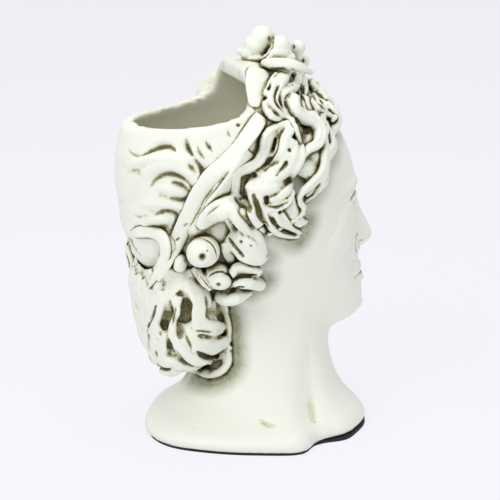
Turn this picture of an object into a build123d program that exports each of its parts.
"""Head planter: a cast classical head with a level gaze, wavy hair, a head band and berry clusters.

The frame is in millimetres. +Z is up, the face looks along -Y, and the origin is the middle of
the flat underside. The head stands on a short neck that flares into a lobed bust base. The skull
is open at the top and hollow down to a floor with one drain hole, which a rubber plug closes.
Hair locks, bands, berries and petals are bonded to the shell and cut to its outer surface.
"""

import os
from math import cos, pi, radians, sin, sqrt

from build123d import *

# Head
head_height = 190.0  # chin level to the crown of the skull
head_tilt = 8.0  # degrees that the face looks up
head_foot_y = -11.0  # where the head's axis meets chin level
head_foot_z = 66.0
wall = 8.0  # thickness of the cast wall

# Neck and bust base
neck_front = 48.0
neck_back = 46.0
neck_half_width = 44.0
neck_centre_y = -10.0
base_front = 80.0
base_back = 94.0
base_half_width = 88.0
flare_height = 100.0
neck_inside = 50.0  # how far the neck runs up inside the head
pad_thickness = 2.0
pad_inset = 2.0
floor_thickness = 10.0
neck_cavity_height = 145.0

# Rim of the pot, seen from the side
rim_back_z = 228.0
rim_side_z = 239.0
rim_front_y = 16.0
crest_z = 262.0
crest_lean = 5.0  # how far the crest's edge leans back over its height
cut_reach = 170.0  # how far the cutting solids run past the head

# Drain and its plug
drain_radius = 6.0
plug_clearance = 0.05
plug_flange_radius = 11.0
plug_flange_thickness = 3.0
plug_knob_radius = 3.5
plug_knob_height = 7.0
plug_stem_gap = 1.0  # the stem ends this far above the underside of the pad
plug_edge = 0.8
pad_hole_radius = 9.0

# Eyes
eyeball_radius = 12.0
lid_step = 1.6
eye_opening_half = 10.5
eye_opening_up = 4.6
eye_opening_down = 3.2

# Hair and ornaments
lock_width = 17.0
lock_thickness = 12.0
lock_tip_share = 0.42
band_width = 10.0
band_thickness = 7.0
ribbon_width = 14.0
ribbon_thickness = 9.0
leaf_width = 17.0
leaf_thickness = 10.0
petal_width = 28.0
petal_thickness = 15.0
petal_back_width = 30.0
petal_back_thickness = 19.0
ear_berry_radius = 11.5
low_berry_radius = 10.0
bud_radius = 6.0
crown_berry_radius = 6.5
berry_eye_share = 0.24  # the dimple of a berry against its radius
berry_aim_share = 0.3  # how far behind the head's axis the point lies that dimples face away from

# Skull: rows of (up, front, back, side, widest), shares of the head height. Front and back are
# measured from the head's axis; widest is where the level section is broadest.
skull_shares = [
    (0.000, 0.370, -0.130, 0.075, -0.270),
    (0.045, 0.428, -0.040, 0.135, -0.240),
    (0.105, 0.424, 0.050, 0.184, -0.180),
    (0.180, 0.416, 0.170, 0.228, -0.090),
    (0.250, 0.418, 0.300, 0.262, -0.015),
    (0.330, 0.416, 0.400, 0.286, 0.020),
    (0.430, 0.424, 0.465, 0.308, 0.045),
    (0.540, 0.448, 0.487, 0.320, 0.060),
    (0.640, 0.446, 0.490, 0.326, 0.065),
    (0.740, 0.424, 0.485, 0.324, 0.065),
    (0.840, 0.380, 0.467, 0.310, 0.060),
    (0.930, 0.322, 0.430, 0.284, 0.045),
    (1.010, 0.252, 0.360, 0.244, 0.035),
    (1.065, 0.190, 0.276, 0.200, 0.030),
    (1.100, 0.115, 0.170, 0.140, 0.025),
]
skull_turns = [0, 12, 26, 42, 60, 80, 100, 120, 140, 160, 180]
skull_squareness = 0.9  # below 1 the sections are fuller at their corners
cavity_shares = [0.36, 0.45, 0.55, 0.66, 0.77, 0.87, 0.96, 1.04]

# Nose: rows of (up, out, half width), shares of the head height
nose_shares = [
    (0.560, 0.004, 0.036), (0.500, 0.022, 0.038), (0.440, 0.046, 0.044), (0.380, 0.074, 0.050),
    (0.325, 0.100, 0.064), (0.285, 0.076, 0.062),
]
nose_root_share = 0.055  # how deep the nose is rooted in the skull

# Soft swellings of the face: (across, forward of the skull's front, up), then half sizes
brow_shares = ((0.100, -0.066, 0.560), (0.090, 0.052, 0.028))
socket_shares = ((0.125, -0.050, 0.500), (0.078, 0.040, 0.042))
upper_lip_shares = ((0.030, -0.006, 0.208), (0.050, 0.026, 0.014))
lower_lip_shares = ((0.0, -0.004, 0.178), (0.056, 0.026, 0.017))
eye_shares = (0.127, -0.098, 0.495)

# Bust base: rows of (turn from the front, reach against the base's own oval on the right side,
# the same on the left side)
lobe_shares = [
    (0, 1.00, 1.00), (24, 1.00, 1.00), (44, 0.97, 0.97), (57, 0.955, 0.95), (66, 0.885, 0.90),
    (76, 0.88, 0.90), (86, 1.00, 0.97), (103, 0.99, 0.98), (122, 0.985, 0.975),
    (137, 1.01, 0.955), (152, 1.05, 0.925), (166, 1.03, 0.93), (180, 0.98, 0.98),
]
# How much of the base's lobes is left at a share of the flare's height
flare_shares = [
    (0.00, 0.97), (0.035, 1.0), (0.08, 0.955), (0.115, 0.84), (0.15, 0.69), (0.20, 0.54),
    (0.26, 0.40), (0.33, 0.28), (0.41, 0.185), (0.52, 0.105), (0.64, 0.05), (0.80, 0.015), (1.0, 0.0),
]

# Hair on the head: stations of (turn from the face, up, out), up and out as shares of the head
# height. The routes are drawn for the head's right side.
fore_locks_shares = [
    [(38, 0.97, 0.01), (43, 0.90, 0.01), (47, 0.83, 0.01), (45, 0.77, 0.01), (48, 0.70, 0.00)],
    [(28, 0.97, 0.00), (29, 0.90, 0.00), (26, 0.84, 0.00), (31, 0.77, -0.01)],
    [(9, 0.97, -0.01), (12, 0.90, -0.01), (9, 0.85, -0.01), (14, 0.80, -0.02)],
]
crown_locks_shares = [
    [(30, 1.04, 0.0), (52, 0.97, 0.01), (58, 0.90, 0.01), (68, 0.84, 0.02), (62, 0.78, 0.01)],
    [(46, 1.05, 0.0), (64, 0.99, 0.01), (72, 0.92, 0.01), (84, 0.85, 0.01)],
]
temple_locks_shares = [
    [(60, 0.86, 0.01), (57, 0.79, 0.03), (56, 0.73, 0.03), (62, 0.67, 0.01)],
    [(78, 0.80, 0.01), (68, 0.74, 0.03), (60, 0.66, 0.03), (66, 0.60, 0.01)],
    [(84, 0.72, 0.01), (76, 0.63, 0.04), (74, 0.55, 0.03), (64, 0.50, 0.0)],
]
side_locks_shares = [
    [(92, 0.70, 0.01), (86, 0.64, 0.03), (82, 0.57, 0.03), (82, 0.49, 0.01)],
    [(112, 0.60, 0.01), (100, 0.61, 0.04), (91, 0.56, 0.04), (88, 0.48, 0.02)],
    [(103, 0.53, 0.01), (96, 0.49, 0.03), (94, 0.43, 0.03), (87, 0.40, 0.01)],
]
band_shares = [
    (66, 1.00, 0.005), (84, 0.87, 0.005), (98, 0.76, 0.005), (110, 0.65, 0.005), (121, 0.54, 0.005),
]

# Hair behind the neck: rows of (up from the head's foot, back, half width, half depth, phase in
# turns of one lock), shares of the head height
nape_shares = [
    (0.350, 0.365, 0.235, 0.135, -0.10), (0.310, 0.365, 0.250, 0.145, 0.10),
    (0.260, 0.365, 0.262, 0.150, 0.35), (0.210, 0.360, 0.270, 0.155, 0.55),
    (0.150, 0.350, 0.272, 0.150, 0.60), (0.090, 0.345, 0.265, 0.145, 0.40),
    (0.030, 0.340, 0.250, 0.140, 0.10), (-0.020, 0.345, 0.225, 0.130, -0.15),
    (-0.060, 0.350, 0.190, 0.115, -0.30), (-0.095, 0.350, 0.130, 0.080, -0.40),
]
nape_groove_share = 0.05  # depth of the grooves between nape locks against the lock's reach
nape_lock_count = 18
nape_squareness = 0.75  # below 1 the sections are fuller at their corners
points_per_lock = 3

# Ornaments behind the ear: (across, back, up), shares of the head height from the head's foot
ribbon_shares = [
    (0.210, 0.470, 0.490), (0.242, 0.445, 0.447), (0.228, 0.455, 0.385), (0.192, 0.490, 0.325),
]
ear_berry_share = (0.300, 0.328, 0.433)
low_berry_share = (0.284, 0.270, 0.328)
bud_share = (0.263, 0.403, 0.391)
leaf_upper_shares = [(0.289, 0.210, 0.350), (0.302, 0.165, 0.326), (0.286, 0.120, 0.305)]
leaf_lower_shares = [(0.274, 0.240, 0.273), (0.281, 0.203, 0.258), (0.265, 0.165, 0.262)]

# Flower at the crown, measured the same way
petal_back_shares = [
    (0.0, 0.115, 1.030), (0.0, 0.078, 1.115), (0.0, 0.015, 1.175), (0.0, -0.060, 1.150),
]
petal_right_shares = [
    (0.095, 0.040, 1.060), (0.105, -0.055, 1.100), (0.090, -0.125, 1.050), (0.060, -0.175, 0.990),
]
petal_centre_share = (0.0, -0.100, 0.870)  # the broad sides of the petals face away from here
crown_berry_high_share = (0.026, -0.126, 1.132)
crown_berry_low_share = (-0.021, -0.166, 1.061)

head_plane = Plane(
    origin=(0, head_foot_y, head_foot_z),
    x_dir=(1, 0, 0),
    z_dir=(0, sin(radians(head_tilt)), cos(radians(head_tilt))),
)


head_middle = Vector(0, neck_centre_y, head_foot_z + head_height / 2)


def skull_row(up):
    """Skull sizes at a height, straight between the two rows that hold it."""
    for below, above in zip(skull_shares, skull_shares[1:]):
        if up <= above[0]:
            part = max(0.0, (up - below[0]) / (above[0] - below[0]))
            return [(low + (high - low) * part) * head_height for low, high in zip(below, above)]
    return [share * head_height for share in skull_shares[-1]]


def skull_point(turn, up, inset=0.0):
    """Point of a level section at a turn from the face, in the head's own plane."""
    front, back, side, widest = skull_row(up)[1:]
    angle = radians(turn)
    x = (side - inset) * max(sin(angle), 0.0) ** skull_squareness
    reach = front - inset + widest if cos(angle) > 0 else back - inset - widest
    return x, widest - reach * cos(angle)


def on_head(turn, up, out):
    """Place on the skull's right side in the part's frame, lifted out by a share."""
    x, y = skull_point(turn, up)
    radius = sqrt(x * x + y * y)
    lift = 1 + out * head_height / radius
    return head_plane.from_local_coords(Vector(-x * lift, y * lift, up * head_height))


def by_foot(place):
    """Place in the part's frame from shares measured at the head's foot, on the right side."""
    across, back, up = place
    return Vector(
        -across * head_height, head_foot_y + back * head_height, head_foot_z + up * head_height
    )


def ellipse_reach(turn, front, back, half_width):
    """Distance from the middle to an oval that is longer before or behind."""
    depth = front if cos(radians(turn)) > 0 else back
    return 1 / sqrt((cos(radians(turn)) / depth) ** 2 + (sin(radians(turn)) / half_width) ** 2)


def base_points(spread, inset=0.0):
    """Ring of points between the neck's oval and the base's lobes, from the front round the left
    side and back along the right."""
    left_side = [(turn, left) for turn, right, left in lobe_shares]
    right_side = [(-turn, right) for turn, right, left in lobe_shares[1:-1]]
    points = []
    for turn, lobe in left_side + right_side[::-1]:
        neck = ellipse_reach(turn, neck_front, neck_back, neck_half_width)
        base = ellipse_reach(turn, base_front, base_back, base_half_width) * lobe
        reach = neck + (base - neck) * spread - inset
        points.append((reach * sin(radians(turn)), neck_centre_y - reach * cos(radians(turn))))
    return points


def both_sides(points):
    """Whole ring of points from one half that starts and ends on the middle plane."""
    middle = [(0, points[0][1]), *points[1:-1], (0, points[-1][1])]
    return middle + [(-x, y) for x, y in reversed(points[1:-1])]


def ring(points):
    """Draw a smooth closed ring through the points."""
    Spline(*points, periodic=True)


def on_face(place, side=1):
    """Place in the head's own plane, measured from the skull's front at its height."""
    across, forward, up = place
    front = skull_row(up)[1]
    return Pos(side * across * head_height, -front - forward * head_height, up * head_height)


def ellipsoid(halves):
    """Ellipsoid about the origin from half sizes given as shares of the head height."""
    sizes = tuple(half * head_height for half in halves)
    return scale(Sphere(1, mode=Mode.PRIVATE), sizes, mode=Mode.PRIVATE)


def swellings(shares, sides=(1, -1)):
    """Ellipsoids of the face on the given sides of the middle plane."""
    place, halves = shares
    return [head_plane.location * on_face(place, side) * ellipsoid(halves) for side in sides]


def strand(route, width, thickness, tip_share, centre):
    """Loft a rounded strand along a route of points, thinner at both ends."""
    last = len(route) - 1
    sections = []
    for number, point in enumerate(route):
        ahead = route[min(number + 1, last)] - route[max(number - 1, 0)]
        outward = (point - centre).normalized()
        across = ahead.cross(outward)
        share = tip_share + (1 - tip_share) * sin(pi * number / last) ** 0.6
        with BuildSketch(Plane(origin=point, x_dir=across, z_dir=ahead)) as section:
            Ellipse(width / 2 * share, thickness / 2 * share)
        sections.append(section.sketch)
    loft(sections)


def head_strands(routes, width=lock_width, thickness=lock_thickness, tip_share=lock_tip_share):
    """Strands along routes of turns and heights on the skull."""
    for stations in routes:
        centre = head_plane.from_local_coords(Vector(0, 0, stations[0][1] * head_height))
        strand([on_head(*station) for station in stations], width, thickness, tip_share, centre)


def foot_strand(shares, width, thickness, centre, tip_share=lock_tip_share):
    """Strand along a route measured from the head's foot, its broad side away from a centre."""
    strand([by_foot(share) for share in shares], width, thickness, tip_share, centre)


def berry(share, radius):
    """Ball with a dimple that faces out from the head's axis."""
    place = by_foot(share)
    outward = Vector(place.X, place.Y - head_foot_y - head_height * berry_aim_share, 0).normalized()
    with BuildSketch(Plane(origin=place, x_dir=outward, z_dir=(0, 0, 1))) as section:
        Circle(radius)
        with Locations((radius, 0)):
            Circle(radius * berry_eye_share, mode=Mode.SUBTRACT)
        split(bisect_by=Plane.XZ)
    revolve(section.sketch, axis=Axis(place, outward))


def nape_points(half_width, half_depth, phase):
    """Ring of the nape hair with a groove beside each lock, alike on both sides."""
    points = []
    count = nape_lock_count * points_per_lock
    for number in range(count):
        turn = 2 * pi * (number + 0.5) / count
        side = 1 if turn < pi else -1
        wave = cos(nape_lock_count * turn + side * 2 * pi * phase)
        reach = 1 - nape_groove_share * (1 - wave) / 2
        across = abs(sin(turn)) ** nape_squareness * side
        along = abs(cos(turn)) ** nape_squareness * (1 if cos(turn) > 0 else -1)
        points.append((half_width * reach * across, -half_depth * reach * along))
    return points


petal_centre = by_foot(petal_centre_share)

# Solid skull, neck and bust base, before the face and the hollow
with BuildPart() as head_core:
    for rise, spread in flare_shares:
        with BuildSketch(Plane.XY.offset(pad_thickness + rise * flare_height)):
            with BuildLine():
                ring(base_points(spread))
            make_face()
    loft(ruled=True)
    with BuildSketch(Plane.XY.offset(pad_thickness + flare_height)):
        with BuildLine():
            ring(base_points(0.0))
        make_face()
    extrude(amount=neck_inside)
    for row in skull_shares:
        with BuildSketch(head_plane.offset(row[0] * head_height)):
            with BuildLine():
                ring(both_sides([skull_point(turn, row[0]) for turn in skull_turns]))
            make_face()
    loft(ruled=True)

# Eye with its two lids, looking forward from the middle of the eyeball
with BuildPart() as eye:
    Sphere(eyeball_radius + lid_step)
    with BuildSketch(Plane.XZ):
        with BuildLine():
            ThreePointArc((-eye_opening_half, 0), (0, eye_opening_up), (eye_opening_half, 0))
            ThreePointArc((eye_opening_half, 0), (0, -eye_opening_down), (-eye_opening_half, 0))
        make_face()
    extrude(amount=eyeball_radius * 2, mode=Mode.SUBTRACT)
    Sphere(eyeball_radius)

# Nose on the skull's front
with BuildPart() as nose:
    for up, out, half_width in nose_shares:
        centre_y = -skull_row(up)[1] - (out - nose_root_share) / 2 * head_height
        with BuildSketch(head_plane.offset(up * head_height)):
            with Locations((0, centre_y)):
                Ellipse(half_width * head_height, (out + nose_root_share) / 2 * head_height)
    loft()

# Space over the rim line, seen from the side
with BuildPart() as over_rim:
    with BuildSketch(Plane.YZ):
        with BuildLine():
            rim = Spline(
                (head_foot_y + head_height * 0.62, rim_back_z),
                (head_foot_y + head_height * 0.45, rim_back_z + (rim_side_z - rim_back_z) * 0.5),
                (rim_front_y + wall * 2, rim_side_z),
                (rim_front_y, rim_side_z + wall),
                (rim_front_y - crest_lean * 0.5, crest_z),
                (rim_front_y - crest_lean, crest_z + wall * 2),
            )
            Polyline(
                rim @ 1, (rim_front_y - crest_lean, crest_z + cut_reach),
                ((rim @ 0).X, crest_z + cut_reach), rim @ 0,
            )
        make_face()
    extrude(amount=cut_reach, both=True)

# Hollow of the skull and the neck, with the drain through the floor
with BuildPart() as hollow:
    for up in cavity_shares:
        with BuildSketch(head_plane.offset(up * head_height)):
            with BuildLine():
                ring(both_sides([skull_point(turn, up, wall) for turn in skull_turns]))
            make_face()
    loft(ruled=True)
    with BuildSketch(Plane.XY.offset(pad_thickness + floor_thickness)):
        with BuildLine():
            ring(base_points(0.0, wall))
        make_face()
    extrude(amount=neck_cavity_height)
    with BuildSketch(Plane.XY):
        with Locations((0, neck_centre_y)):
            Circle(drain_radius)
    extrude(amount=pad_thickness + floor_thickness + wall)

# Cast shell: face, skull, neck and bust base in one wall
with BuildPart() as head_shell:
    add(head_core.part)
    add(swellings(socket_shares), mode=Mode.SUBTRACT)
    add([nose.part, *swellings(brow_shares)])
    add([*swellings(upper_lip_shares), *swellings(lower_lip_shares, [1])])
    add([head_plane.location * on_face(eye_shares, side) * eye.part for side in (1, -1)])
    add([hollow.part, over_rim.part], mode=Mode.SUBTRACT)
    head_shell.part.label = "head_shell"

# Flat pad under the base, with the drain's hole
with BuildPart() as base_pad:
    with BuildSketch(Plane.XY):
        with BuildLine():
            ring(base_points(flare_shares[0][1], pad_inset))
        make_face()
        with Locations((0, neck_centre_y)):
            Circle(pad_hole_radius, mode=Mode.SUBTRACT)
    extrude(amount=pad_thickness)
    base_pad.part.label = "base_pad"

# Rubber plug: a stem in the drain, a flange on the floor and a knob to lift it by
with BuildPart() as drain_plug:
    with BuildSketch(Plane.XZ.offset(-neck_centre_y)) as plug_section:
        with BuildLine():
            stem = drain_radius - plug_clearance
            floor_z = pad_thickness + floor_thickness
            flange_z = floor_z + plug_flange_thickness
            Polyline(
                (0, plug_stem_gap), (stem, plug_stem_gap), (stem, floor_z),
                (plug_flange_radius, floor_z), (plug_flange_radius, flange_z),
                (plug_knob_radius, flange_z), (plug_knob_radius, flange_z + plug_knob_height),
                (0, flange_z + plug_knob_height), close=True,
            )
        make_face()
    revolve(axis=Axis((0, neck_centre_y, 0), (0, 0, 1)))
    fillet(drain_plug.edges().filter_by(GeomType.CIRCLE).group_by(Axis.Z)[-1], plug_edge)
    drain_plug.part.label = "drain_plug"

# Hair behind the neck
with BuildPart() as nape_hair:
    for up, back, half_width, half_depth, phase in nape_shares:
        row_plane = Plane(
            (0, head_foot_y + back * head_height, head_foot_z + up * head_height),
            x_dir=(1, 0, 0), z_dir=(0, 0, 1),
        )
        with BuildSketch(row_plane):
            with BuildLine():
                ring(nape_points(half_width * head_height, half_depth * head_height, phase))
            make_face()
    loft(ruled=True)
    add(head_core.part, mode=Mode.SUBTRACT)

# Head band on the right side
with BuildPart() as band_right:
    head_strands([band_shares], band_width, band_thickness, 1.0)
    add(head_core.part, mode=Mode.SUBTRACT)

# Ribbon end behind the ear
with BuildPart() as ribbon_right:
    foot_strand(ribbon_shares, ribbon_width, ribbon_thickness, head_middle)
    add([head_core.part, band_right.part, nape_hair.part], mode=Mode.SUBTRACT)

# Berries behind the ear: balls with a dimple that faces out
with BuildPart() as ear_berry_right:
    berry(ear_berry_share, ear_berry_radius)
    add([head_core.part, band_right.part, ribbon_right.part, nape_hair.part], mode=Mode.SUBTRACT)

with BuildPart() as low_berry_right:
    berry(low_berry_share, low_berry_radius)
    add([head_core.part, ear_berry_right.part, nape_hair.part], mode=Mode.SUBTRACT)

with BuildPart() as bud_right:
    berry(bud_share, bud_radius)
    add([head_core.part, ribbon_right.part, ear_berry_right.part, nape_hair.part],
        mode=Mode.SUBTRACT)

# Leaves under the ear
with BuildPart() as leaf_upper_right:
    foot_strand(leaf_upper_shares, leaf_width, leaf_thickness, head_middle)
    add([head_core.part, low_berry_right.part, nape_hair.part], mode=Mode.SUBTRACT)

with BuildPart() as leaf_lower_right:
    foot_strand(leaf_lower_shares, leaf_width, leaf_thickness, head_middle)
    add([head_core.part, leaf_upper_right.part, nape_hair.part], mode=Mode.SUBTRACT)

# Flower at the crown
with BuildPart() as petal_back:
    foot_strand(petal_back_shares, petal_back_width, petal_back_thickness, petal_centre)
    add(head_core.part, mode=Mode.SUBTRACT)

with BuildPart() as petal_right:
    foot_strand(petal_right_shares, petal_width, petal_thickness, petal_centre)
    split(bisect_by=Plane.YZ, keep=Keep.BOTTOM)
    add([head_core.part, petal_back.part], mode=Mode.SUBTRACT)

petal_left = mirror(petal_right.part, about=Plane.YZ)

with BuildPart() as crown_berry_high:
    berry(crown_berry_high_share, crown_berry_radius)
    add([petal_back.part, petal_right.part], mode=Mode.SUBTRACT)

with BuildPart() as crown_berry_low:
    berry(crown_berry_low_share, crown_berry_radius)
    add([petal_left, crown_berry_high.part], mode=Mode.SUBTRACT)

# Hair on the right side
with BuildPart() as fore_locks_right:
    head_strands(fore_locks_shares)
    add([head_core.part, petal_right.part], mode=Mode.SUBTRACT)

with BuildPart() as crown_locks_right:
    head_strands(crown_locks_shares)
    add([head_core.part, band_right.part, petal_right.part, fore_locks_right.part],
        mode=Mode.SUBTRACT)

with BuildPart() as temple_locks_right:
    head_strands(temple_locks_shares)
    add([head_core.part, band_right.part, fore_locks_right.part, crown_locks_right.part],
        mode=Mode.SUBTRACT)

with BuildPart() as side_locks_right:
    head_strands(side_locks_shares)
    add([head_core.part, band_right.part, temple_locks_right.part, ear_berry_right.part,
         leaf_upper_right.part], mode=Mode.SUBTRACT)

# The left side mirrors the right. The forelocks lie flat on the skull, so they are cut to it again
# there, because the skull's two sides differ by a few hundredths of a millimetre.
right_pieces = {
    "band": band_right, "ribbon": ribbon_right, "ear_berry": ear_berry_right,
    "low_berry": low_berry_right, "bud": bud_right, "leaf_upper": leaf_upper_right,
    "leaf_lower": leaf_lower_right, "petal": petal_right, "fore_locks": fore_locks_right,
    "crown_locks": crown_locks_right, "temple_locks": temple_locks_right,
    "side_locks": side_locks_right,
}
pieces = [head_shell.part, base_pad.part, drain_plug.part, nape_hair.part, petal_back.part]
for name, piece in right_pieces.items():
    piece.part.label = f"{name}_right"
    with BuildPart() as left_piece:
        add(mirror(piece.part, about=Plane.YZ, mode=Mode.PRIVATE))
        if name == "fore_locks":
            add(head_core.part, mode=Mode.SUBTRACT)
    left_piece.part.label = f"{name}_left"
    pieces += [piece.part, left_piece.part]
for name, piece in (("crown_berry_high", crown_berry_high), ("crown_berry_low", crown_berry_low)):
    piece.part.label = name
    pieces.append(piece.part)
nape_hair.part.label = "nape_hair"
petal_back.part.label = "petal_back"

os.makedirs("parts", exist_ok=True)
for piece in pieces:
    export_step(piece, f"parts/{piece.label}.step")
